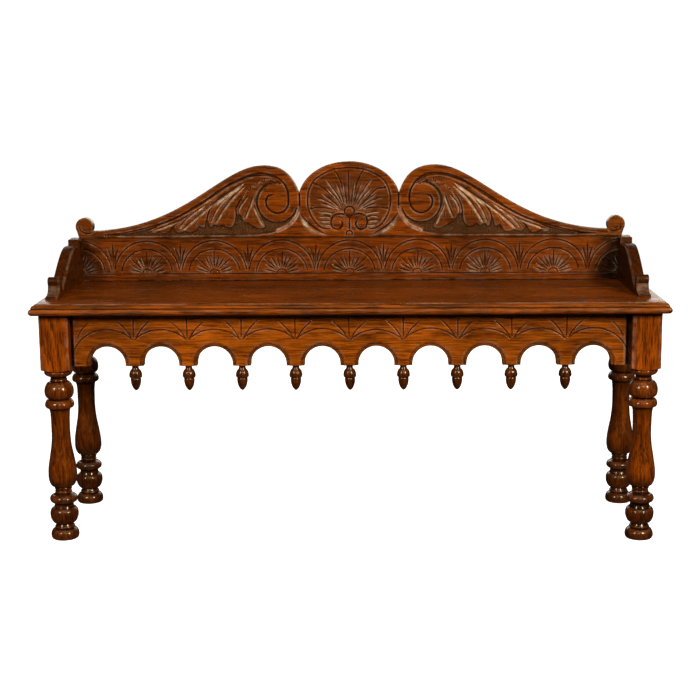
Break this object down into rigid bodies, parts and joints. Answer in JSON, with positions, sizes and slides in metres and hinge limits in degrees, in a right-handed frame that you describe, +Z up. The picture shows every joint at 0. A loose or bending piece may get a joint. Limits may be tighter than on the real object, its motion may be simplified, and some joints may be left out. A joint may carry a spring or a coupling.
{
  "type": "carved oak bench",
  "caption": "Carved oak hall bench with a low scrolled back, shaped end wings, an arcaded apron hung with turned acorn drops, and turned baluster legs.",
  "frame": {"origin": "on the floor under the middle of the bench, midway between the front moulding and the back edge of the seat", "axes": "+X runs along the seat to the right as seen from the front, +Y runs to the back so that the front faces -Y, +Z is up"},
  "size_m": [1.22, 0.36, 0.725],
  "materials": {
    "seat_oak": "dark stained oak, waxed, satin with a soft sheen",
    "carved_oak": "carved oak, warm brown stain, dark in the cuts, waxed satin",
    "turned_oak": "turned oak, brown stain, polished satin gloss",
    "rail_oak": "plain sawn and planed oak, dark stain, dull",
    "block_wood": "unpolished aged softwood and beech, matt",
    "screw_steel": "dull oxidised steel"
  },
  "bodies": {
    "root": {"seat_front_board": "seat_oak", "seat_rear_board": "seat_oak", "front_left_leg": "turned_oak", "front_right_leg": "turned_oak", "rear_left_leg": "turned_oak", "rear_right_leg": "turned_oak", "front_apron": "carved_oak", "rear_rail": "rail_oak", "left_end_rail": "rail_oak", "right_end_rail": "rail_oak", "acorn_pendant_1": "turned_oak", "acorn_pendant_2": "turned_oak", "acorn_pendant_3": "turned_oak", "acorn_pendant_4": "turned_oak", "acorn_pendant_5": "turned_oak", "acorn_pendant_6": "turned_oak", "acorn_pendant_7": "turned_oak", "acorn_pendant_8": "turned_oak", "acorn_pendant_9": "turned_oak", "frieze_board": "carved_oak", "crest_board": "carved_oak", "left_wing": "carved_oak", "right_wing": "carved_oak", "left_back_batten": "rail_oak", "right_back_batten": "rail_oak", "front_glue_blocks": "block_wood", "rear_glue_blocks": "block_wood", "crest_dowels": "block_wood", "wing_dowels": "block_wood", "seat_screws": "screw_steel", "back_screws": "screw_steel", "wing_screws": "screw_steel", "batten_screws": "screw_steel"}
  },
  "joints": []
}
